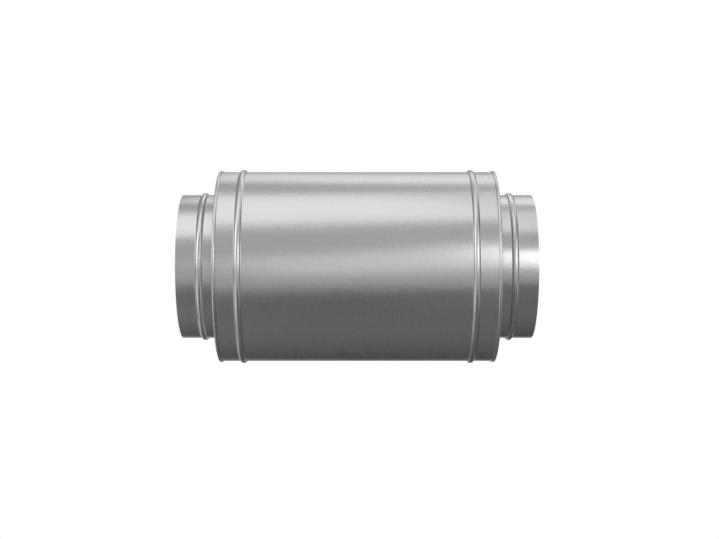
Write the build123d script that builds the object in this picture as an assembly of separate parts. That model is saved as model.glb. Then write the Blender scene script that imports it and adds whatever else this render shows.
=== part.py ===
from build123d import *
from math import degrees
import os

# Round sound attenuator that stands in a run of duct. A rolled steel jacket is closed at each end by
# an annular cap, whose rim is folded over the jacket's lip. A spigot with a stop bead is pressed
# into the neck of each cap, and a perforated liner joins the tails of the two spigots through the
# casing. Glass tissue on the liner and a mat of mineral wool fill the room inside the jacket.
# The duct's axis is X, Z is up, and the origin is the middle of the air way. Lengths are
# millimetres. Bends and folds are drawn with sharp corners, on the true thickness of the sheet.

# Duct and casing
duct_diameter = 315.0
duct_slip = 0.5
lagging_depth = 50.0
casing_length = 600.0
spigot_reach = 81.0

# Sheet thicknesses
jacket_sheet = 0.7
cap_sheet = 0.8
spigot_sheet = 0.8
liner_sheet = 0.7

# Swaged beads, two round the jacket and one round each spigot, placed from the cap's face
bead_width = 16.0
bead_crown = 6.0
bead_height = 4.9
jacket_bead_inset = 52.5
spigot_bead_outset = 32.0

# Folded rim that holds the cap on the jacket
hem_width = 7.0
hem_height = 2.6

# Neck of the cap, and the joint of the spigot and the liner behind it
neck_depth = 12.0
neck_to_liner = 2.0
tail_overlap = 24.0

# Gaps where sheets slide into each other and where they are folded over each other
slip_gap = 0.15
fold_gap = 0.1

# Lock seam along the back of the jacket, at an angle from the top
seam_width = 8.0
seam_height = 1.4
seam_end_gap = 3.0
seam_angle = 110.0

# Perforation of the liner
hole_across = 14.0
hole_sides = 6
hole_pitch = 96.0
holes_round = 8
plain_margin = 6.0

# Tissue on the liner and wool round it
tissue_thickness = 0.5
tissue_lap = 10.0
wrap_gap = 0.15
wool_joint_gap = 1.0
wool_jacket_gap = 0.3
wool_cap_gap = 0.2

# Places along the duct, from the middle
half_length = casing_length / 2
cap_inner_face = half_length - cap_sheet
spigot_mouth = half_length + spigot_reach
neck_tip = half_length - neck_depth
liner_end = neck_tip - neck_to_liner
spigot_tail = liner_end - tail_overlap
perforated_end = spigot_tail - plain_margin
tissue_end = perforated_end + tissue_lap

# Places across the duct, from its axis
spigot_radius = duct_diameter / 2 - duct_slip
sleeve_bore = spigot_radius + slip_gap
liner_radius = sleeve_bore + liner_sheet
neck_radius = sleeve_bore + cap_sheet
tissue_bore = liner_radius + wrap_gap
tissue_radius = tissue_bore + tissue_thickness
wool_bore = max(tissue_radius, neck_radius) + wrap_gap
jacket_radius = duct_diameter / 2 + lagging_depth
hem_radius = jacket_radius + hem_height


def strip(points, thickness, side):
    """Section of a sheet: a strip of one thickness on one side of a bent line."""
    return make_face(offset(Polyline(*points), thickness, kind=Kind.INTERSECTION, side=side, closed=True))


def spun(points, thickness, side):
    """Sheet bent along a line and rolled once round the duct's axis."""
    return revolve(strip(points, thickness, side), Axis.X)


def tube(bore, radius, end):
    """Plain tube of the same reach on both sides of the middle."""
    section = Pos(0, (bore + radius) / 2) * Rectangle(2 * end, radius - bore)
    return revolve(section, Axis.X)


def bead(middle, radius):
    """Outside line of a swaged bead: two flanks and a flat crown on a tube of one radius."""
    foot = bead_width / 2
    crown = bead_crown / 2
    return [
        (middle - foot, radius),
        (middle - crown, radius + bead_height),
        (middle + crown, radius + bead_height),
        (middle + foot, radius),
    ]


def beaded_run(start, end, radius):
    """Outside line of the jacket between two places, over both of its beads."""
    bead_place = half_length - jacket_bead_inset
    return [(start, radius), *bead(-bead_place, radius), *bead(bead_place, radius), (end, radius)]


def lock_seam():
    """Flattened lock seam, which follows the jacket over its beads and starts inside its sheet."""
    root = jacket_sheet / 2
    seam_end = half_length - hem_width - seam_end_gap
    section = strip(beaded_run(-seam_end, seam_end, jacket_radius - root), root + seam_height, Side.LEFT)
    turn = degrees(seam_width / jacket_radius)
    seam = revolve(section, Axis.X, revolution_arc=turn)
    return Rot(90 - seam_angle - turn / 2, 0, 0) * seam


def outer_jacket():
    """Rolled jacket: a tube with two beads, a lip turned out at each end and a lock seam."""
    lip = cap_inner_face - fold_gap - jacket_sheet
    lip_radius = hem_radius - cap_sheet - fold_gap
    line = [(-lip, lip_radius), *beaded_run(-lip, lip, jacket_radius), (lip, lip_radius)]
    return spun(line, jacket_sheet, Side.RIGHT) + lock_seam()


def end_cap():
    """Cap of the right end: a neck round the spigot, a face and a rim folded in behind the lip."""
    line = [
        (neck_tip, sleeve_bore),
        (half_length, sleeve_bore),
        (half_length, hem_radius),
        (half_length - hem_width, hem_radius),
        (half_length - hem_width, jacket_radius + fold_gap),
    ]
    return spun(line, cap_sheet, Side.LEFT)


def spigot():
    """Spigot of the right end, from its tail in the liner over its stop bead to its mouth."""
    stop = bead(half_length + spigot_bead_outset, spigot_radius)
    line = [(spigot_tail, spigot_radius), *stop, (spigot_mouth, spigot_radius)]
    return spun(line, spigot_sheet, Side.RIGHT)


def perforated_liner():
    """Liner tube with staggered rings of holes between its plain ends."""
    shell = tube(sleeve_bore, liner_radius, liner_end)
    ring_count = int(2 * perforated_end // hole_pitch)
    punch = extrude(RegularPolygon(hole_across / 2, hole_sides), 4 * liner_sheet, both=True)
    step = 360 / holes_round
    holes = []
    for ring in range(ring_count):
        place = (ring - (ring_count - 1) / 2) * hole_pitch
        stagger = step / 2 * (ring % 2)
        for k in range(holes_round):
            holes.append(Rot(stagger + step * k, 0, 0) * Pos(place, 0, liner_radius) * punch)
    return shell - holes


def mineral_wool():
    """Mat of wool wrapped once round the tissue, with its butt joint below the air way."""
    radius = jacket_radius - jacket_sheet - wool_jacket_gap
    end = cap_inner_face - wool_cap_gap
    joint = Pos(0, 0, -radius / 2 - wool_bore / 2) * Box(3 * end, wool_joint_gap, 2 * (radius - wool_bore))
    return tube(wool_bore, radius, end) - joint


def main():
    parts = {
        "outer_jacket": outer_jacket(),
        "perforated_liner": perforated_liner(),
        "glass_tissue": tube(tissue_bore, tissue_radius, tissue_end),
        "mineral_wool": mineral_wool(),
    }
    for name, right in {"end_cap": end_cap(), "spigot": spigot()}.items():
        parts[name + "_right"] = right
        parts[name + "_left"] = mirror(right, about=Plane.YZ)
    os.makedirs("parts", exist_ok=True)
    for name, part in parts.items():
        export_step(part, f"parts/{name}.step")


main()
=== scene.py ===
"""Looks of a round duct sound attenuator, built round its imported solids.

The duct's axis is X, the plain front of the casing faces -Y and Z is up. Lengths are metres.
"""

import logging
import math
from collections.abc import Callable, Sequence
from dataclasses import dataclass, field
from enum import Enum
from typing import Any, ClassVar

import bmesh
import bpy
from mathutils import Matrix, Vector, noise


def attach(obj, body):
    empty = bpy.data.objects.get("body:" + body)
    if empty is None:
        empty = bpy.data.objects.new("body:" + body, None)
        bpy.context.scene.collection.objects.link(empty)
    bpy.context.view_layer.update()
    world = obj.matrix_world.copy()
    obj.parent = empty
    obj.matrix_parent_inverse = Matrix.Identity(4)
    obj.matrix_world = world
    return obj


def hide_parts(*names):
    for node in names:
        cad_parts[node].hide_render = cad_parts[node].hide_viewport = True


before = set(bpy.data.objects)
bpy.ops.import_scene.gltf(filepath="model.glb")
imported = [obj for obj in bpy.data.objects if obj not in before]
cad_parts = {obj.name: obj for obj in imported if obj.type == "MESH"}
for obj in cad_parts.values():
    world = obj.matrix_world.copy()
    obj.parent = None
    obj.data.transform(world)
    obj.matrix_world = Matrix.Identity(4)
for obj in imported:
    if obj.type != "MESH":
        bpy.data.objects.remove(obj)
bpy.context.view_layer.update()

LOG = logging.getLogger("attenuator")
MM = 0.001
QUARTER = math.pi / 2
BODY = "root"
PHOTO_WIDTH = 719
PHOTO_HEIGHT = 539
ROUND_STEPS = 288
SMOOTH_BELOW = math.radians(34.0)
SAME_PLACE = 1e-6
WHITE = (1.0, 1.0, 1.0)
WARM = (1.0, 0.95, 0.87)

Colour = tuple[float, float, float]
Range = tuple[float, float]
Socket = bpy.types.NodeSocket


class End(Enum):
    """The two ends of the attenuator, with the sign of their places along X."""

    LEFT = -1
    RIGHT = 1

    @property
    def word(self) -> str:
        """Name of the end as the nodes spell it."""
        return self.name.lower()


class Side(Enum):
    """Side of a walked line on which the sheet has its thickness."""

    LEFT = 1
    RIGHT = -1


@dataclass
class SheetLine:
    """Line of a bent sheet in a half plane through the duct's axis.

    A point is (place along the axis, distance from it). The line is walked from its start, and
    a turn is positive to the left of the way it goes.
    """

    FLAT_INSET: ClassVar[float] = 0.3 * MM
    BEND_STEPS: ClassVar[int] = 6
    FOLD_STEPS: ClassVar[int] = 4
    ROOT_STEPS: ClassVar[int] = 5
    CROWN_STEPS: ClassVar[int] = 14

    at: Vector
    heading: float
    points: list[Vector] = field(default_factory=list)
    normals: list[Vector] = field(default_factory=list)

    def __post_init__(self) -> None:
        """Notes the start of the line."""
        self._note()

    def _left(self) -> Vector:
        """Direction to the left of the way the line goes."""
        return Vector((-math.sin(self.heading), math.cos(self.heading)))

    def _note(self) -> None:
        """Adds the present place, and the normal on the line's left, to the line."""
        self.points.append(self.at.copy())
        self.normals.append(self._left())

    def straight(self, length: float) -> "SheetLine":
        """Walks straight on, with a point just inside each end that keeps the shading flat.

        Args:
            length: How far, in metres.

        Returns:
            The line itself, so that steps can be chained.
        """
        way = Vector((math.cos(self.heading), math.sin(self.heading)))
        inset = self.FLAT_INSET
        inner = (inset, length - inset) if length > 4 * inset else ()
        begin = self.at
        for step in (*inner, length):
            self.at = begin + step * way
            self._note()
        return self

    def bend(self, radius: float, turn: float, steps: int = BEND_STEPS) -> "SheetLine":
        """Walks round an arc.

        Args:
            radius: Radius of the arc, in metres.
            turn: Angle turned through, in radians.
            steps: Number of chords that draw the arc.

        Returns:
            The line itself, so that steps can be chained.
        """
        sign = math.copysign(1.0, turn)
        centre = self.at + sign * radius * self._left()
        begin = self.heading
        for step in range(1, steps + 1):
            self.heading = begin + turn * step / steps
            self.at = centre - sign * radius * self._left()
            self._note()
        return self

    def bead(self, width: float, height: float, root: float) -> "SheetLine":
        """Walks over a swaged bead, out by its root, round its crown and back.

        Args:
            width: Width from foot to foot.
            height: Height of the crown over the tube.
            root: Radius of the arc at each foot.

        Returns:
            The line itself, so that steps can be chained.
        """
        turn = 2.0 * math.atan(2.0 * height / width)
        crown = width / 2.0 / math.sin(turn) - root
        self.bend(root, turn, self.ROOT_STEPS).bend(crown, -2.0 * turn, self.CROWN_STEPS)
        return self.bend(root, turn, self.ROOT_STEPS)


def on_tube(along: float, radius: float, angle: float) -> Vector:
    """Place at a distance from the axis, at an angle from +Y towards +Z."""
    return Vector((along, radius * math.cos(angle), radius * math.sin(angle)))


def band(here: int, there: int, size: int) -> list[tuple[int, int, int, int]]:
    """Joins two closed rings of vertices by faces.

    Args:
        here: Number of the first ring's first vertex.
        there: Number of the second ring's first vertex.
        size: Number of vertices in each ring.

    Returns:
        The faces between the rings.
    """
    faces = []
    for k in range(size):
        ahead = (k + 1) % size
        faces.append((here + k, here + ahead, there + ahead, there + k))
    return faces


def plain_mesh(name: str, vertices: Sequence[Vector], faces: Sequence[Sequence[int]]) -> bpy.types.Mesh:
    """Makes a mesh.

    Args:
        name: Name of the mesh.
        vertices: Places of the vertices.
        faces: Vertex numbers of each face.

    Returns:
        The mesh as given, with nothing merged, turned or smoothed.
    """
    mesh = bpy.data.meshes.new(name)
    mesh.from_pydata(vertices, [], faces)
    return mesh


def finish_shell(mesh: bpy.types.Mesh, weld: float = 0.0, end: End = End.RIGHT) -> None:
    """Turns a mesh's faces outwards and shades it smooth but for its cut edges.

    Args:
        mesh: The mesh of a closed shell.
        weld: Distance up to which vertices are merged, or 0 to merge none.
        end: End at which the shell stands; its mesh is drawn for the right end.
    """
    shell = bmesh.new()
    shell.from_mesh(mesh)
    if weld:
        bmesh.ops.remove_doubles(shell, verts=shell.verts, dist=weld)
    for vertex in shell.verts:
        vertex.co.x *= end.value
    bmesh.ops.recalc_face_normals(shell, faces=shell.faces)
    shell.to_mesh(mesh)
    shell.free()
    mesh.shade_smooth()
    mesh.set_sharp_from_angle(angle=SMOOTH_BELOW)


def place_object(name: str, data: bpy.types.ID) -> bpy.types.Object:
    """Puts a new object into the scene.

    Args:
        name: Name of the object.
        data: Its mesh, light or camera.

    Returns:
        The object, at the origin.
    """
    placed = bpy.data.objects.new(name, data)
    bpy.context.scene.collection.objects.link(placed)
    return placed


def shell_object(name: str, vertices: Sequence[Vector], faces: Sequence[Sequence[int]]) -> bpy.types.Object:
    """Makes an object of a closed shell.

    Args:
        name: Name of the object.
        vertices: Places of the vertices.
        faces: Vertex numbers of each face.

    Returns:
        The object, its faces outwards and smooth but for its sharp edges.
    """
    mesh = plain_mesh(name, vertices, faces)
    finish_shell(mesh, weld=SAME_PLACE)
    return place_object(name, mesh)


def rolled_sheet(
    name: str,
    line: SheetLine,
    thickness: float,
    side: Side,
    end: End = End.RIGHT,
    angles: Sequence[float] = (),
    lift: Callable[[float, float], float] | None = None,
) -> bpy.types.Object:
    """Rolls a bent sheet round the duct's axis.

    Args:
        name: Name of the object.
        line: Line of the sheet's outside.
        thickness: Thickness of the sheet.
        side: Side of the line on which the thickness lies.
        end: End at which the piece stands; the line is drawn for the right end.
        angles: Angles of the columns from +Y towards +Z, or none for even ones.
        lift: Height that is added on the outside at an angle and a place along the axis.

    Returns:
        The rolled sheet as an object.
    """
    columns = list(angles) or [math.tau * k / ROUND_STEPS for k in range(ROUND_STEPS)]
    vertices: list[Vector] = []
    for angle in columns:
        ring: list[Vector] = []
        for point, normal in zip(line.points, line.normals):
            raised = lift(angle, point.x) if lift else 0.0
            ring.append(point - side.value * raised * normal)
        for point, normal in zip(reversed(line.points), reversed(line.normals)):
            ring.append(point + side.value * thickness * normal)
        vertices += [on_tube(end.value * place.x, place.y, angle) for place in ring]
    size = 2 * len(line.points)
    faces: list[tuple[int, ...]] = []
    for column in range(len(columns)):
        faces += band(column * size, (column + 1) % len(columns) * size, size)
    return shell_object(name, vertices, faces)


class NodeTree:
    """Short way to add nodes and links to a node tree."""

    SCALAR_RESULTS = ("DOT_PRODUCT", "LENGTH")

    def __init__(self, tree: bpy.types.NodeTree) -> None:
        """Takes the tree to build in."""
        self.tree = tree

    @classmethod
    def emptied(cls, owner: bpy.types.Material | bpy.types.World) -> "NodeTree":
        """Gives a material or a world an empty tree.

        Args:
            owner: The material or the world.

        Returns:
            Its tree, without the nodes that a new one has.
        """
        owner.use_nodes = True
        owner.node_tree.nodes.clear()
        return cls(owner.node_tree)

    def add(self, kind: str, inputs: dict[str | int, Any] | None = None, **settings: Any) -> bpy.types.Node:
        """Adds a node.

        Args:
            kind: Type name of the node.
            inputs: Value or output socket for each input, by name or number.
            **settings: Properties of the node.

        Returns:
            The new node.
        """
        node = self.tree.nodes.new(kind)
        for key, value in settings.items():
            setattr(node, key, value)
        for key, value in (inputs or {}).items():
            if isinstance(value, Socket):
                self.tree.links.new(value, node.inputs[key])
            else:
                node.inputs[key].default_value = value
        return node

    def maths(self, operation: str, *values: Any) -> Socket:
        """Adds a calculation with numbers and returns its result."""
        return self.add("ShaderNodeMath", dict(enumerate(values)), operation=operation).outputs[0]

    def vector(self, operation: str, *values: Any) -> Socket:
        """Adds a calculation with vectors.

        Args:
            operation: Name of the operation.
            *values: Value or output socket for each of its inputs.

        Returns:
            Its result, a number for a dot product or a length and a vector otherwise.
        """
        node = self.add("ShaderNodeVectorMath", dict(enumerate(values)), operation=operation)
        return node.outputs["Value" if operation in self.SCALAR_RESULTS else "Vector"]

    def spread(
        self, value: Socket, source: Range, target: Range = (0.0, 1.0), **settings: Any
    ) -> Socket:
        """Spreads one range of a value over another.

        Args:
            value: The value.
            source: Ends of its range. Beyond them the result stays the same.
            target: What it becomes at each of these ends.
            **settings: Properties of the node.

        Returns:
            The result.
        """
        inputs: dict[str | int, Any] = {"Value": value}
        inputs["From Min"], inputs["From Max"] = source
        inputs["To Min"], inputs["To Max"] = target
        return self.add("ShaderNodeMapRange", inputs, **settings).outputs[0]

    def two_tone(self, factor: Socket, dark: Colour, light: Colour) -> Socket:
        """Adds a mix from a dark tone to a light one and returns it."""
        inputs = {"Factor": factor, "A": (*dark, 1.0), "B": (*light, 1.0)}
        return self.add("ShaderNodeMix", inputs, data_type="RGBA", clamp_factor=True).outputs["Result"]

    def surface(self, shader: bpy.types.Node) -> None:
        """Makes a shader node the surface of the material."""
        self.add("ShaderNodeOutputMaterial", {"Surface": shader.outputs[0]})


@dataclass(frozen=True)
class GalvanisedSheet:
    """Zinc-coated steel sheet: a dull metal with fine spangle, grain and slight waviness.

    The two gains are painted light: they lighten surfaces that face the axis and flanks that face
    the middle of the attenuator, for light that is lost between near surfaces.
    """

    NOISE_RANGE: ClassVar[Range] = (0.3, 0.7)
    TONE_RANGE: ClassVar[Range] = (0.5, 1.25)
    INSIDE_RANGE: ClassVar[Range] = (0.1, 0.4)
    FLANK_RANGE: ClassVar[Range] = (-0.6, -0.25)

    name: str
    dark: Colour = (0.297, 0.299, 0.305)
    light: Colour = (0.307, 0.309, 0.315)
    roughness: float = 0.28
    streak_gloss: float = 0.01
    grain_gloss: float = 0.015
    edge_tint: Colour = (0.56, 0.56, 0.57)
    spangle_size: float = 3.5 * MM
    spangle_weight: float = 0.35
    cloud_size: float = 270.0 * MM
    cloud_weight: float = 0.4
    grain_size: float = 0.9 * MM
    streak_width: float = 1.2 * MM
    streak_length: float = 60.0 * MM
    wave_size: float = 90.0 * MM
    wave_depth: float = 0.12 * MM
    mottle_size: float = 8.0 * MM
    mottle_depth: float = 0.12 * MM
    # Painted light: factors that lighten the colour of surfaces facing the axis and of bead flanks facing
    # the middle.
    inside_gain: float = 1.0
    flank_gain: float = 1.0

    def patches(self, nodes: NodeTree, width: float, detail: float, length: float = 0.0) -> Socket:
        """Adds noise in patches.

        Args:
            nodes: Tree of the material.
            width: Size of the patches along the axis.
            detail: How many times finer noise is laid over them.
            length: Size of the patches round the axis, or 0 if it is the same.

        Returns:
            The noise.
        """
        place = nodes.add("ShaderNodeTexCoord").outputs["Object"]
        across = 1.0 / (length or width)
        scaled = nodes.vector("MULTIPLY", place, (1.0 / width, across, across))
        texture = nodes.add("ShaderNodeTexNoise", {"Vector": scaled, "Scale": 1.0, "Detail": detail})
        return texture.outputs["Fac"]

    def tone(self, nodes: NodeTree, grain: Socket) -> Socket:
        """Adds the colour of the zinc, uneven by its crystals, its grain and broad clouds.

        Args:
            nodes: Tree of the material.
            grain: Noise of the grain.

        Returns:
            The colour.
        """
        place = nodes.add("ShaderNodeTexCoord").outputs["Object"]
        spangle = nodes.add("ShaderNodeTexVoronoi", {"Vector": place, "Scale": 1.0 / self.spangle_size})
        crystal = nodes.add("ShaderNodeSeparateColor", {"Color": spangle.outputs["Color"]}).outputs["Red"]
        cloud = self.patches(nodes, self.cloud_size, detail=3.0)
        tone = nodes.maths("MULTIPLY_ADD", crystal, self.spangle_weight, grain)
        tone = nodes.maths("MULTIPLY_ADD", cloud, self.cloud_weight, tone)
        return nodes.two_tone(nodes.spread(tone, self.TONE_RANGE), self.dark, self.light)

    def gain(self, nodes: NodeTree) -> Socket:
        """Adds the gain of the surfaces that face the axis or the middle, which is painted light.

        Args:
            nodes: Tree of the material.

        Returns:
            What the colour is multiplied by, which is 1 on all other surfaces.
        """
        coordinates = nodes.add("ShaderNodeTexCoord").outputs
        place, normal = coordinates["Object"], coordinates["Normal"]
        outward = nodes.vector("NORMALIZE", nodes.vector("MULTIPLY", place, (0.0, 1.0, 1.0)))
        facing = nodes.vector("DOT_PRODUCT", normal, outward)
        # Painted light: surfaces that face along or into the axis get a lighter colour.
        inside = nodes.spread(facing, self.INSIDE_RANGE, (self.inside_gain, 1.0))
        along = nodes.add("ShaderNodeSeparateXYZ", {"Vector": place}).outputs["X"]
        lean = nodes.add("ShaderNodeSeparateXYZ", {"Vector": normal}).outputs["X"]
        away = nodes.maths("MULTIPLY", lean, nodes.maths("SIGN", along))
        # Painted light: flanks that face the middle of the attenuator get a lighter colour.
        flank = nodes.spread(away, self.FLANK_RANGE, (self.flank_gain, 1.0))
        return nodes.maths("MAXIMUM", inside, flank)

    def gloss(self, nodes: NodeTree, grain: Socket) -> Socket:
        """Adds the roughness, uneven by long streaks and by the grain.

        Args:
            nodes: Tree of the material.
            grain: Noise of the grain.

        Returns:
            The roughness.
        """
        streak = self.patches(nodes, self.streak_width, detail=2.0, length=self.streak_length)
        ends = (self.roughness - self.streak_gloss, self.roughness + self.streak_gloss)
        streaks = nodes.spread(streak, self.NOISE_RANGE, ends)
        grains = nodes.spread(grain, self.NOISE_RANGE, (-self.grain_gloss, self.grain_gloss))
        return nodes.maths("ADD", streaks, grains)

    def relief(self, nodes: NodeTree) -> Socket:
        """Adds the relief of the rolled sheet, broad waves with a fine mottle on them.

        Args:
            nodes: Tree of the material.

        Returns:
            The normal.
        """
        broad = self.patches(nodes, self.wave_size, detail=1.0)
        waves = nodes.add("ShaderNodeBump", {"Height": broad, "Distance": self.wave_depth})
        fine = self.patches(nodes, self.mottle_size, detail=2.0)
        inputs = {"Height": fine, "Distance": self.mottle_depth, "Normal": waves.outputs["Normal"]}
        return nodes.add("ShaderNodeBump", inputs).outputs["Normal"]

    def material(self) -> bpy.types.Material:
        """Builds the material.

        Returns:
            A node material on Object coordinates.
        """
        material = bpy.data.materials.new(self.name)
        nodes = NodeTree.emptied(material)
        grain = self.patches(nodes, self.grain_size, detail=2.0)
        # The zinc's tone is scaled by the gains' painted light.
        toned = {0: self.tone(nodes, grain), "Scale": self.gain(nodes)}
        colour = nodes.add("ShaderNodeVectorMath", toned, operation="SCALE").outputs["Vector"]
        shader = nodes.add(
            "ShaderNodeBsdfPrincipled",
            {
                "Base Color": colour,
                "Metallic": 1.0,
                "Specular Tint": (*self.edge_tint, 1.0),
                "Roughness": self.gloss(nodes, grain),
                "Normal": self.relief(nodes),
            },
        )
        nodes.surface(shader)
        return material


@dataclass(frozen=True)
class FibreCloth:
    """Matt fibre cloth or mat: tangled fibres in two tones with a soft relief."""

    name: str
    dark: Colour
    light: Colour
    fibre_size: float
    fibre_depth: float
    fibre_detail: float = 5.0
    fibre_tangle: float = 2.5
    roughness: float = 0.95

    def material(self) -> bpy.types.Material:
        """Builds the material.

        Returns:
            A node material on Object coordinates.
        """
        material = bpy.data.materials.new(self.name)
        nodes = NodeTree.emptied(material)
        fibres = nodes.add(
            "ShaderNodeTexNoise",
            {
                "Vector": nodes.add("ShaderNodeTexCoord").outputs["Object"],
                "Scale": 1.0 / self.fibre_size,
                "Detail": self.fibre_detail,
                "Distortion": self.fibre_tangle,
            },
        ).outputs["Fac"]
        relief = nodes.add("ShaderNodeBump", {"Height": fibres, "Distance": self.fibre_depth})
        shader = nodes.add(
            "ShaderNodeBsdfPrincipled",
            {
                "Base Color": nodes.two_tone(fibres, self.dark, self.light),
                "Roughness": self.roughness,
                "Normal": relief.outputs["Normal"],
            },
        )
        nodes.surface(shader)
        return material


@dataclass(frozen=True)
class Bead:
    """Size of a swaged bead."""

    width: float = 16.0 * MM
    height: float = 4.85 * MM
    root: float = 1.8 * MM

    def over(self, line: SheetLine) -> SheetLine:
        """Walks a line over the bead and returns the line."""
        return line.bead(self.width, self.height, self.root)


@dataclass
class Casing:
    """Rolled jacket with two beads and a lock seam, closed by two folded caps."""

    finish: GalvanisedSheet
    cap_finish: GalvanisedSheet
    half_length: float = 300.0 * MM
    radius: float = 207.5 * MM
    jacket_sheet: float = 0.7 * MM
    cap_sheet: float = 0.8 * MM
    bead: Bead = Bead()
    bead_inset: float = 52.5 * MM
    hem_width: float = 7.0 * MM
    hem_height: float = 2.6 * MM
    hem_corner: float = 3.0 * MM
    hem_shoulder: float = 4.0 * MM
    hem_slope: float = math.radians(60.0)
    lip_inset: float = 1.9 * MM
    lip_height: float = 0.8 * MM
    lip_bend: float = 0.5 * MM
    fold_gap: float = 0.1 * MM
    neck_bore: float = 157.15 * MM
    neck_depth: float = 12.0 * MM
    neck_bend: float = 1.9 * MM
    seam_angle: float = math.radians(-20.0)
    seam_width: float = 10.0 * MM
    seam_shoulder: float = 2.0 * MM
    seam_height: float = 1.4 * MM
    seam_end_gap: float = 3.0 * MM
    seam_end_slope: float = 0.4 * MM
    shoulder_steps: int = 6
    plain_columns: int = 280

    @property
    def seam_end(self) -> float:
        """Distance from the middle at which the lock seam ends, short of the cap's rim."""
        return self.half_length - self.hem_width - self.seam_end_gap

    def jacket_line(self) -> SheetLine:
        """Outside line of the jacket.

        Returns:
            The line from the left lip over both beads to the right lip.
        """
        lip = self.half_length - self.lip_inset - self.jacket_sheet
        lip_rise = self.lip_height - self.lip_bend
        bead_foot = self.half_length - self.bead_inset + self.bead.width / 2
        to_bead = self.seam_end - bead_foot
        to_seam = lip - self.lip_bend - self.seam_end - self.seam_end_slope
        line = SheetLine(Vector((-lip, self.radius + self.lip_height)), -QUARTER)
        line.straight(lip_rise).bend(self.lip_bend, QUARTER, SheetLine.FOLD_STEPS)
        line.straight(to_seam).straight(self.seam_end_slope).straight(to_bead)
        self.bead.over(line)
        line.straight(2 * (bead_foot - self.bead.width))
        self.bead.over(line)
        line.straight(to_bead).straight(self.seam_end_slope).straight(to_seam)
        return line.bend(self.lip_bend, QUARTER, SheetLine.FOLD_STEPS).straight(lip_rise)

    def seam_profile(self) -> list[tuple[float, float]]:
        """Section of the flattened lock seam.

        Returns:
            Angle from the seam's middle and height, from one foot to the other, over a rounded
            shoulder on each side.
        """
        half = self.seam_width / 2 / self.radius
        shoulder = self.seam_shoulder / self.radius
        rise = []
        for k in range(self.shoulder_steps + 1):
            height = self.seam_height * (1.0 - math.cos(math.pi * k / self.shoulder_steps)) / 2
            rise.append((shoulder * k / self.shoulder_steps, height))
        up = [(along - half, height) for along, height in rise]
        down = [(half - along, height) for along, height in reversed(rise)]
        return up + down

    def jacket(self) -> bpy.types.Object:
        """Builds the jacket.

        Returns:
            The jacket, dressed.
        """
        profile = self.seam_profile()
        heights = {self.seam_angle + angle: height for angle, height in profile}
        first, last = profile[0][0], profile[-1][0]
        around = math.tau - (last - first)
        count = self.plain_columns
        plain = [self.seam_angle + last + around * k / count for k in range(1, count)]

        def lift(angle: float, place: float) -> float:
            """Height of the seam over the jacket at an angle and a place along the axis."""
            return heights.get(angle, 0.0) if abs(place) <= self.seam_end + SAME_PLACE else 0.0

        piece = rolled_sheet(
            "jacket",
            self.jacket_line(),
            self.jacket_sheet,
            Side.RIGHT,
            angles=[*heights, *plain],
            lift=lift,
        )
        piece.data.materials.append(self.finish.material())
        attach(piece, BODY)
        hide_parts("outer_jacket")
        return piece

    def cap_line(self) -> SheetLine:
        """Outside line of the right cap.

        Returns:
            The line from the inner end of the neck, out along the face and round the rim, which
            comes down in a shoulder and stands square on the jacket with its foot.
        """
        hem_radius = self.radius + self.hem_height
        fall = self.hem_height - self.fold_gap - self.hem_shoulder * (1.0 - math.cos(self.hem_slope))
        foot = fall / math.cos(self.hem_slope)
        reach = self.hem_shoulder * math.sin(self.hem_slope) + foot * (1.0 - math.sin(self.hem_slope))
        line = SheetLine(Vector((self.half_length - self.neck_depth, self.neck_bore)), 0.0)
        line.straight(self.neck_depth - self.neck_bend).bend(self.neck_bend, QUARTER)
        line.straight(hem_radius - self.hem_corner - self.neck_bore - self.neck_bend)
        line.bend(self.hem_corner, QUARTER)
        line.straight(self.hem_width - self.hem_corner - reach)
        line.bend(self.hem_shoulder, self.hem_slope)
        return line.bend(foot, QUARTER - self.hem_slope, SheetLine.FOLD_STEPS)

    def cap(self, end: End, material: bpy.types.Material) -> bpy.types.Object:
        """Builds the cap of one end.

        Args:
            end: The end it closes.
            material: Its finish.

        Returns:
            The cap, dressed.
        """
        piece = rolled_sheet(f"cap_{end.word}", self.cap_line(), self.cap_sheet, Side.LEFT, end)
        piece.data.materials.append(material)
        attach(piece, BODY)
        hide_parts(f"end_cap_{end.word}")
        return piece

    def build(self) -> list[bpy.types.Object]:
        """Builds the jacket and both caps and returns them."""
        material = self.cap_finish.material()
        return [self.jacket(), *(self.cap(end, material) for end in End)]


@dataclass
class Spigots:
    """The two beaded collars that the duct slides over."""

    finish: GalvanisedSheet
    tail: float = 262.0 * MM
    mouth: float = 381.0 * MM
    radius: float = 157.0 * MM
    sheet: float = 0.8 * MM
    bead: Bead = Bead()
    bead_place: float = 332.0 * MM

    def spigot(self, end: End, material: bpy.types.Material) -> bpy.types.Object:
        """Builds the spigot of one end.

        Args:
            end: The end at which it stands.
            material: Its finish.

        Returns:
            The spigot, dressed.
        """
        foot = self.bead.width / 2
        line = SheetLine(Vector((self.tail, self.radius)), 0.0)
        line.straight(self.bead_place - foot - self.tail)
        self.bead.over(line).straight(self.mouth - self.bead_place - foot)
        piece = rolled_sheet(f"collar_{end.word}", line, self.sheet, Side.RIGHT, end)
        piece.data.materials.append(material)
        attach(piece, BODY)
        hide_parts(f"spigot_{end.word}")
        return piece

    def build(self) -> list[bpy.types.Object]:
        """Builds both spigots and returns them."""
        material = self.finish.material()
        return [self.spigot(end, material) for end in End]


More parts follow.
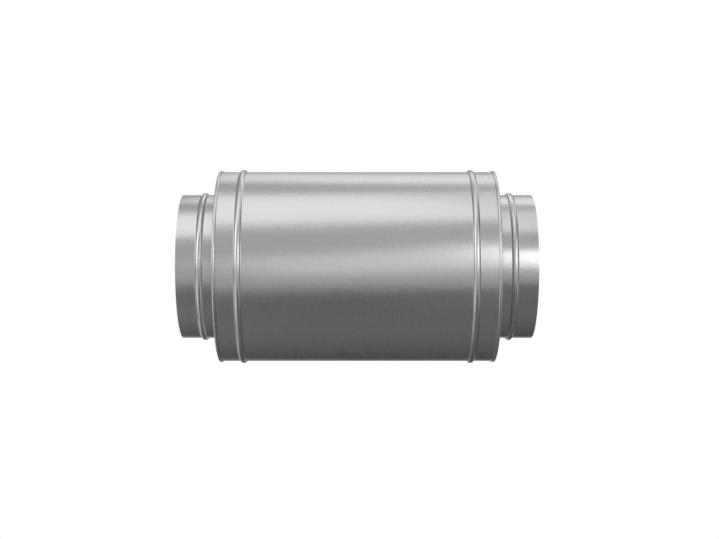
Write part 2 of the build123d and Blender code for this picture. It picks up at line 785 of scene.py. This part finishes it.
@dataclass
class Liner:
    """Perforated liner tube, punched all round but for its ends and its welded seam."""

    BORDER: ClassVar[Sequence[tuple[int, int]]] = (
        (1, 0), (1, 1), (0, 1), (-1, 1), (-1, 0), (-1, -1), (0, -1), (1, -1)
    )

    finish: GalvanisedSheet
    bore: float = 157.15 * MM
    sheet: float = 0.7 * MM
    end: float = 286.0 * MM
    rows: int = 37
    punched_rows: int = 33
    columns: int = 110
    seam_columns: int = 2
    hole_radius: float = 3.0 * MM
    seam_angle: float = math.radians(-90.0)
    weld: float = 0.02 * MM

    @property
    def faces_at(self) -> tuple[float, float]:
        """Radii of the sheet's inner and outer face."""
        return self.bore, self.bore + self.sheet

    def cell(self, name: str, hole_radius: float) -> bpy.types.Object:
        """Makes one cell of the sheet, curved to the tube, with a hole or plain.

        Args:
            name: Name of the cell.
            hole_radius: Radius of the hole, or 0 for a plain cell.

        Returns:
            The cell as an object that isn't linked to the scene.
        """
        sides = len(self.BORDER)
        half_pitch = self.end / self.rows / 2
        half_turn = math.pi / self.columns
        outline = [(x * half_pitch, turn * half_turn) for x, turn in self.BORDER]
        faces: list[tuple[int, ...]] = []
        if hole_radius:
            hole, outer, outer_hole = sides, 2 * sides, 3 * sides
            for k in range(sides):
                way = math.tau * k / sides
                turn = hole_radius * math.sin(way) / (self.bore + self.sheet / 2)
                outline.append((hole_radius * math.cos(way), turn))
                ahead = (k + 1) % sides
                faces.append((k, hole + k, hole + ahead, ahead))
                faces.append((outer + k, outer + ahead, outer_hole + ahead, outer_hole + k))
                faces.append((hole + k, outer_hole + k, outer_hole + ahead, hole + ahead))
        else:
            faces.append(tuple(reversed(range(sides))))
            faces.append(tuple(range(sides, 2 * sides)))
        vertices = [on_tube(x, radius, turn) for radius in self.faces_at for x, turn in outline]
        return bpy.data.objects.new(name, plain_mesh(name, vertices, faces))

    def cut_edges(self, name: str) -> bpy.types.Object:
        """Makes the cut edges of one half of the liner, at its end and at the middle.

        Args:
            name: Name of the object.

        Returns:
            Two rings of faces, which the tree joins to the cells.
        """
        count = 2 * self.columns
        angles = [self.seam_angle + math.pi * k / self.columns for k in range(count)]
        vertices: list[Vector] = []
        faces: list[tuple[int, ...]] = []
        for x in (0.0, self.end):
            faces += band(len(vertices), len(vertices) + count, count)
            vertices += [on_tube(x, radius, angle) for radius in self.faces_at for angle in angles]
        return place_object(name, plain_mesh(name, vertices, faces))

    def tree(self) -> bpy.types.NodeTree:
        """Builds the tree that lays out the cells and joins them into one sheet.

        Every second row stands half a cell further round.

        Returns:
            A Geometry Nodes tree with named inputs for counts, pitches and cells.
        """
        group = bpy.data.node_groups.new("perforated sheet", "GeometryNodeTree")
        face = group.interface
        face.new_socket("Geometry", in_out="INPUT", socket_type="NodeSocketGeometry")
        for name, kind in (
            ("Punched Cell", "NodeSocketObject"),
            ("Plain Cell", "NodeSocketObject"),
            ("Rows", "NodeSocketInt"),
            ("Punched Rows", "NodeSocketInt"),
            ("Columns", "NodeSocketInt"),
            ("Seam Columns", "NodeSocketInt"),
            ("Row Pitch", "NodeSocketFloat"),
            ("Seam Angle", "NodeSocketFloat"),
            ("Material", "NodeSocketMaterial"),
        ):
            face.new_socket(name, in_out="INPUT", socket_type=kind)
        face.new_socket("Geometry", in_out="OUTPUT", socket_type="NodeSocketGeometry")
        nodes = NodeTree(group)
        maths = nodes.maths
        given = nodes.add("NodeGroupInput").outputs
        index = nodes.add("GeometryNodeInputIndex").outputs[0]
        row = maths("FLOOR", maths("DIVIDE", index, given["Columns"]))
        column = maths("FLOORED_MODULO", index, given["Columns"])
        x = maths("MULTIPLY", maths("ADD", row, 0.5), given["Row Pitch"])
        stagger = maths("MULTIPLY", maths("FLOORED_MODULO", row, 2.0), 0.5)
        steps = maths("ADD", maths("ADD", column, stagger), 0.5)
        turn = maths("MULTIPLY", steps, maths("DIVIDE", math.tau, given["Columns"]))
        angle = maths("ADD", turn, given["Seam Angle"])
        place = nodes.add("ShaderNodeCombineXYZ", {"X": x}).outputs[0]
        turned = nodes.add("ShaderNodeCombineXYZ", {"X": angle}).outputs[0]
        total = maths("MULTIPLY", given["Rows"], given["Columns"])
        points = nodes.add("GeometryNodePoints", {"Count": total, "Position": place})
        last_punched = maths("SUBTRACT", given["Columns"], given["Seam Columns"])
        in_row = maths("LESS_THAN", row, given["Punched Rows"])
        punched = maths("MULTIPLY", in_row, maths("LESS_THAN", column, last_punched))
        plain = maths("SUBTRACT", 1.0, punched)
        join = nodes.add("GeometryNodeJoinGeometry", {0: given["Geometry"]})
        for cell, chosen in (("Punched Cell", punched), ("Plain Cell", plain)):
            source = nodes.add("GeometryNodeObjectInfo", {"Object": given[cell]})
            copies = nodes.add(
                "GeometryNodeInstanceOnPoints",
                {
                    "Points": points.outputs[0],
                    "Selection": chosen,
                    "Instance": source.outputs["Geometry"],
                    "Rotation": turned,
                },
            )
            group.links.new(copies.outputs[0], join.inputs[0])
        real = nodes.add("GeometryNodeRealizeInstances", {"Geometry": join.outputs[0]})
        welding = {"Geometry": real.outputs[0], "Distance": self.weld}
        welded = nodes.add("GeometryNodeMergeByDistance", welding)
        dressing = {"Geometry": welded.outputs[0], "Material": given["Material"]}
        dressed = nodes.add("GeometryNodeSetMaterial", dressing)
        nodes.add("NodeGroupOutput", {"Geometry": dressed.outputs[0]})
        return group

    def half(
        self,
        end: End,
        tree: bpy.types.NodeTree,
        cells: tuple[bpy.types.Object, bpy.types.Object],
        material: bpy.types.Material,
    ) -> bpy.types.Object:
        """Builds one half of the liner, from the middle to its end.

        Args:
            end: The end that the half reaches.
            tree: The tree that lays out the cells.
            cells: The punched and the plain cell.
            material: Its finish.

        Returns:
            The half as a plain mesh object.
        """
        piece = self.cut_edges(f"liner_{end.word}")
        modifier = piece.modifiers.new("perforation", "NODES")
        modifier.node_group = tree
        values = {
            "Punched Cell": cells[0],
            "Plain Cell": cells[1],
            "Rows": self.rows,
            "Punched Rows": self.punched_rows,
            "Columns": self.columns,
            "Seam Columns": self.seam_columns,
            "Row Pitch": self.end / self.rows,
            "Seam Angle": self.seam_angle,
            "Material": material,
        }
        for item in tree.interface.items_tree:
            if item.in_out == "INPUT" and item.name in values:
                modifier[item.identifier] = values[item.name]
        evaluated = piece.evaluated_get(bpy.context.evaluated_depsgraph_get())
        mesh = bpy.data.meshes.new_from_object(evaluated)
        piece.modifiers.clear()
        finish_shell(mesh, end=end)
        piece.data = mesh
        return piece

    def build(self) -> list[bpy.types.Object]:
        """Builds the liner in two halves.

        Returns:
            Both halves, dressed.
        """
        tree = self.tree()
        cells = (self.cell("punched cell", self.hole_radius), self.cell("plain cell", 0.0))
        material = self.finish.material()
        halves = [self.half(end, tree, cells, material) for end in End]
        for cell in cells:
            bpy.data.objects.remove(cell)
        for piece in halves:
            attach(piece, BODY)
            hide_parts("perforated_liner")
        return halves


@dataclass
class Filling:
    """Glass tissue wrapped on the liner, and the mat of mineral wool wrapped round that."""

    tissue: FibreCloth
    wool: FibreCloth
    tissue_bore: float = 158.0 * MM
    tissue_sheet: float = 0.5 * MM
    tissue_end: float = 266.0 * MM
    mat_bore: float = 158.65 * MM
    mat_radius: float = 206.5 * MM
    mat_end: float = 299.0 * MM
    mat_corner: float = 5.0 * MM
    joint_gap: float = 1.0 * MM
    joint_angle: float = math.radians(-90.0)
    fluff_depth: float = 0.9 * MM
    fluff_size: float = 22.0 * MM
    corner_steps: int = 5
    length_steps: int = 46
    depth_steps: int = 5
    turn_steps: int = 180

    def wrap(self) -> bpy.types.Object:
        """Builds the tissue, a thin cloth wound tight on the liner.

        Returns:
            The tissue, dressed.
        """
        line = SheetLine(Vector((-self.tissue_end, self.tissue_bore + self.tissue_sheet)), 0.0)
        line.straight(2 * self.tissue_end)
        piece = rolled_sheet("tissue_wrap", line, self.tissue_sheet, Side.RIGHT)
        piece.data.materials.append(self.tissue.material())
        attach(piece, BODY)
        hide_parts("glass_tissue")
        return piece

    def section(self, inset: float) -> list[tuple[Vector, Vector]]:
        """Section of the mat with rounded corners.

        Args:
            inset: How far the section is shrunk on all its sides.

        Returns:
            Places (along the axis, distance from it), each with the outward normal there.
        """
        middle = (self.mat_bore + self.mat_radius) / 2
        reach = self.mat_end - self.mat_corner
        depth = (self.mat_radius - self.mat_bore) / 2 - self.mat_corner
        rounding = self.mat_corner - inset
        signs = ((1, 1), (-1, 1), (-1, -1), (1, -1))
        centres = [Vector((along * reach, middle + off * depth)) for along, off in signs]
        ring: list[tuple[Vector, Vector]] = []
        for corner, centre in enumerate(centres):
            for k in range(self.corner_steps + 1):
                turn = QUARTER * (corner + k / self.corner_steps)
                normal = Vector((math.cos(turn), math.sin(turn)))
                ring.append((centre + rounding * normal, normal))
            flat = ring[-1][1]
            ahead = centres[(corner + 1) % len(centres)]
            steps = self.depth_steps if corner % 2 else self.length_steps
            for k in range(1, steps):
                ring.append((centre.lerp(ahead, k / steps) + rounding * flat, flat))
        return ring

    def stations(self) -> list[tuple[float, float]]:
        """Stations of the section round the axis, from one face of the joint to the other.

        Returns:
            Angle and inset of each station. The insets round the edges of both faces.
        """
        half_gap = self.joint_gap / 2 / self.mat_bore
        begin = self.joint_angle + half_gap
        turn = math.tau - 2 * half_gap
        rounding = []
        for k in range(self.corner_steps):
            swing = QUARTER * (1 - k / self.corner_steps)
            along = self.mat_corner * (1 - math.sin(swing)) / self.mat_radius
            rounding.append((along, self.mat_corner * (1 - math.cos(swing))))
        edge = self.mat_corner / self.mat_radius
        plain = [(edge + (turn - 2 * edge) * k / self.turn_steps, 0.0) for k in range(self.turn_steps + 1)]
        closing = [(turn - along, inset) for along, inset in reversed(rounding)]
        return [(begin + along, inset) for along, inset in (*rounding, *plain, *closing)]

    def surface(self, angle: float, inset: float) -> list[Vector]:
        """Surface of the mat at one station.

        Args:
            angle: Angle of the station.
            inset: Inset of the section there.

        Returns:
            Places round the section, sunk unevenly as wool is.
        """
        turn = Matrix.Rotation(angle, 3, "X")
        places = []
        for place, normal in self.section(inset):
            point = turn @ place.to_3d()
            sunk = self.fluff_depth * (1.0 + noise.noise(point / self.fluff_size)) / 2
            places.append(point - sunk * (turn @ normal.to_3d()))
        return places

    def mat(self) -> bpy.types.Object:
        """Builds the mat, bent once round the tissue with a butt joint below.

        Returns:
            The mat, dressed.
        """
        rings = [self.surface(angle, inset) for angle, inset in self.stations()]
        size = len(rings[0])
        last = (len(rings) - 1) * size
        faces: list[tuple[int, ...]] = []
        for here in range(0, last, size):
            faces += band(here, here + size, size)
        faces.append(tuple(range(size)))
        faces.append(tuple(range(last, last + size)))
        piece = shell_object("wool_mat", [place for ring in rings for place in ring], faces)
        piece.data.materials.append(self.wool.material())
        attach(piece, BODY)
        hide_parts("mineral_wool")
        return piece

    def build(self) -> list[bpy.types.Object]:
        """Builds the tissue and the mat and returns them."""
        return [self.wrap(), self.mat()]


@dataclass(frozen=True)
class Softbox:
    """A square-edged studio light that faces the middle of the attenuator.

    It hangs at an elevation and an azimuth in degrees. The elevation is measured over the top
    from the camera's side, so 90 is straight above and 180 is level behind, and the azimuth
    turns the light towards the right. The tilt turns it about the line to the attenuator, and
    the shift moves it along its own width. The size is its width and height.
    """

    name: str
    at: tuple[float, float]
    distance: float
    size: tuple[float, float]
    radiance: float
    tilt: float = 0.0
    shift: float = 0.0
    colour: Colour = WHITE

    def hang(self) -> bpy.types.Object:
        """Hangs the light.

        Returns:
            The light object.
        """
        width, height = self.size
        light = bpy.data.lights.new(self.name, "AREA")
        light.shape = "RECTANGLE"
        light.size = width
        light.size_y = height
        light.color = self.colour
        light.energy = self.radiance * math.pi * width * height
        lamp = place_object(self.name, light)
        rise, swing = (math.radians(angle) for angle in self.at)
        way = Vector(
            (math.cos(rise) * math.sin(swing), -math.cos(rise) * math.cos(swing), math.sin(rise))
        )
        across = Vector((math.cos(swing), math.sin(swing), 0.0))
        facing = Matrix((across, way.cross(across), way)).transposed().to_4x4()
        place = Matrix.Translation(self.distance * way) @ facing
        turned = Matrix.Rotation(math.radians(self.tilt), 4, "Z")
        lamp.matrix_world = place @ turned @ Matrix.Translation((self.shift, 0.0, 0.0))
        lamp.visible_camera = False
        return lamp


@dataclass
class Studio:
    """Floor, backdrop, lights and camera."""

    floor_height: float = -1.3
    floor_reach: float = 12.0
    # Painted shade: the grey of the pool round and under the attenuator, with the pool's place and size
    # below.
    floor_colour: Colour = (0.485, 0.495, 0.515)
    pool_middle: tuple[float, float] = (0.4, -0.05)
    pool_narrowing: float = 1.5
    pool_radius: float = 1.9
    pool_edge: float = 3.65
    ambient: float = 0.08
    focal_pixels: float = 1416.6
    camera_distance: float = 3.119
    middle_pixel: tuple[float, float] = (357.12, 266.50)
    sensor_width: float = 36.0
    sight: float = 60.0
    softboxes: tuple[Softbox, ...] = (
        Softbox("overhead", (72.5, 0.0), 2.3, (3.0, 1.75), radiance=1.5, tilt=19.0, shift=-1.1),
        Softbox("overhead right", (72.5, 0.0), 2.3, (1.5, 1.75), radiance=0.9, tilt=19.0, shift=1.15),
        Softbox("overhead left", (93.5, 0.0), 2.3, (0.7, 0.45), radiance=0.4, shift=-0.8),
        Softbox("back top", (131.4, 0.0), 2.3, (3.7, 1.2), radiance=1.8, tilt=-8.0, shift=1.2, colour=WARM),
        Softbox("back top right", (118.5, 0.0), 2.3, (1.3, 0.6), radiance=0.4, shift=0.45, colour=WARM),
        Softbox("front", (3.5, 0.0), 1.6, (1.4, 0.6), radiance=0.75, tilt=26.0, shift=0.3),
        Softbox("front right", (4.5, 0.0), 1.6, (0.94, 0.72), radiance=3.2, tilt=17.0, shift=0.99),
        Softbox("left side", (18.0, -57.0), 2.6, (1.6, 1.7), radiance=3.2),
        Softbox("left low", (-28.0, -67.0), 1.7, (1.3, 1.1), radiance=0.95),
        Softbox("left below", (-34.3, -134.1), 1.7, (1.0, 0.4), radiance=1.1, tilt=-15.4, shift=0.15),
        Softbox("front low right", (-41.0, 0.0), 1.6, (0.6, 0.35), radiance=0.12, shift=0.45),
        Softbox("left floor", (-54.7, -90.0), 1.35, (0.9, 0.3), radiance=0.8),
        Softbox("right side", (15.0, 52.0), 2.6, (1.1, 1.7), radiance=2.0),
    )

    def seen_white(self, nodes: NodeTree) -> Socket:
        """Adds the test for rays that show the white backdrop.

        Args:
            nodes: Tree of the world or the floor.

        Returns:
            A socket that is 1 for camera, glossy and transmission rays, and the ambient light
            for all others.
        """
        path = nodes.add("ShaderNodeLightPath").outputs
        seen = path["Is Camera Ray"]
        for other in (path["Is Glossy Ray"], path["Is Transmission Ray"], self.ambient):
            seen = nodes.maths("MAXIMUM", seen, other)
        return seen

    def world(self) -> None:
        """Makes the white backdrop, which adds hardly any light to matt surfaces."""
        world = bpy.data.worlds.new("backdrop")
        nodes = NodeTree.emptied(world)
        inputs = {"Color": (*WHITE, 1.0), "Strength": self.seen_white(nodes)}
        white = nodes.add("ShaderNodeBackground", inputs)
        nodes.add("ShaderNodeOutputWorld", {"Surface": white.outputs[0]})
        bpy.context.scene.world = world

    def floor_material(self) -> bpy.types.Material:
        """Builds the floor's matt grey pool of painted shade, which passes into the white backdrop further
        off.

        Returns:
            The material.
        """
        material = bpy.data.materials.new("pale floor")
        nodes = NodeTree.emptied(material)
        place = nodes.add("ShaderNodeTexCoord").outputs["Object"]
        # Painted shade: the pool's stretched round outline sets where the floor is matt grey instead of
        # glowing white; the object's own shadow on it comes from the lamps.
        offset = nodes.vector("SUBTRACT", place, (*self.pool_middle, self.floor_height))
        away = nodes.vector("LENGTH", nodes.vector("MULTIPLY", offset, (self.pool_narrowing, 1.0, 1.0)))
        share = nodes.spread(away, (self.pool_radius, self.pool_edge), interpolation_type="SMOOTHSTEP")
        matt = nodes.add("ShaderNodeBsdfDiffuse", {"Color": (*self.floor_colour, 1.0)})
        inputs = {"Color": (*WHITE, 1.0), "Strength": self.seen_white(nodes)}
        white = nodes.add("ShaderNodeEmission", inputs)
        mixed = nodes.add("ShaderNodeMixShader", {0: share, 1: matt.outputs[0], 2: white.outputs[0]})
        nodes.surface(mixed)
        return material

    def floor(self) -> bpy.types.Object:
        """Lays the floor.

        Returns:
            The floor.
        """
        reach = self.floor_reach
        corners = [(-reach, -reach), (reach, -reach), (reach, reach), (-reach, reach)]
        vertices = [Vector((x, y, self.floor_height)) for x, y in corners]
        floor = place_object("floor", plain_mesh("floor", vertices, [(0, 1, 2, 3)]))
        floor.data.materials.append(self.floor_material())
        return floor

    def camera(self) -> bpy.types.Object:
        """Sets up the camera square to the casing's front.

        Returns:
            The camera.
        """
        data = bpy.data.cameras.new("camera")
        data.sensor_width = self.sensor_width
        data.lens = self.focal_pixels / PHOTO_WIDTH * data.sensor_width
        data.shift_x = (PHOTO_WIDTH / 2 - self.middle_pixel[0]) / PHOTO_WIDTH
        data.shift_y = (self.middle_pixel[1] - PHOTO_HEIGHT / 2) / PHOTO_WIDTH
        data.clip_end = self.sight
        camera = place_object("camera", data)
        camera.location = (0.0, -self.camera_distance, 0.0)
        camera.rotation_euler = (QUARTER, 0.0, 0.0)
        bpy.context.scene.camera = camera
        return camera

    def build(self) -> None:
        """Sets up the whole studio."""
        self.world()
        self.floor()
        for softbox in self.softboxes:
            softbox.hang()
        self.camera()
        bpy.context.scene.view_settings.view_transform = "Standard"


def report(pieces: Sequence[bpy.types.Object]) -> None:
    """Logs each piece with its triangle count."""
    for piece in pieces:
        triangles = sum(len(face.vertices) - 2 for face in piece.data.polygons)
        LOG.info("%s: %d triangles", piece.name, triangles)


def main() -> None:
    """Builds every sub-assembly and the studio."""
    logging.basicConfig(level=logging.INFO, format="%(name)s %(message)s")
    jacket = GalvanisedSheet("jacket galvanised")
    # The caps and spigots carry painted light: a lighter colour on faces towards the axis and on bead
    # flanks towards the middle.
    folded = GalvanisedSheet("cap galvanised", inside_gain=1.2)
    rolled = GalvanisedSheet("spigot galvanised", roughness=0.27, inside_gain=1.8, flank_gain=1.9)
    punched = GalvanisedSheet(
        "liner galvanised", dark=(0.50, 0.505, 0.51), light=(0.56, 0.565, 0.57), roughness=0.31
    )
    tissue = FibreCloth(
        "black tissue",
        dark=(0.012, 0.012, 0.013),
        light=(0.05, 0.05, 0.052),
        fibre_size=1.2 * MM,
        fibre_depth=0.15 * MM,
    )
    wool = FibreCloth(
        "wool mat",
        dark=(0.30, 0.24, 0.11),
        light=(0.55, 0.47, 0.26),
        fibre_size=4.0 * MM,
        fibre_depth=0.8 * MM,
    )
    report(Casing(jacket, folded).build())
    report(Spigots(rolled).build())
    report(Liner(punched).build())
    report(Filling(tissue, wool).build())
    Studio().build()


if __name__ == "__main__":
    main()
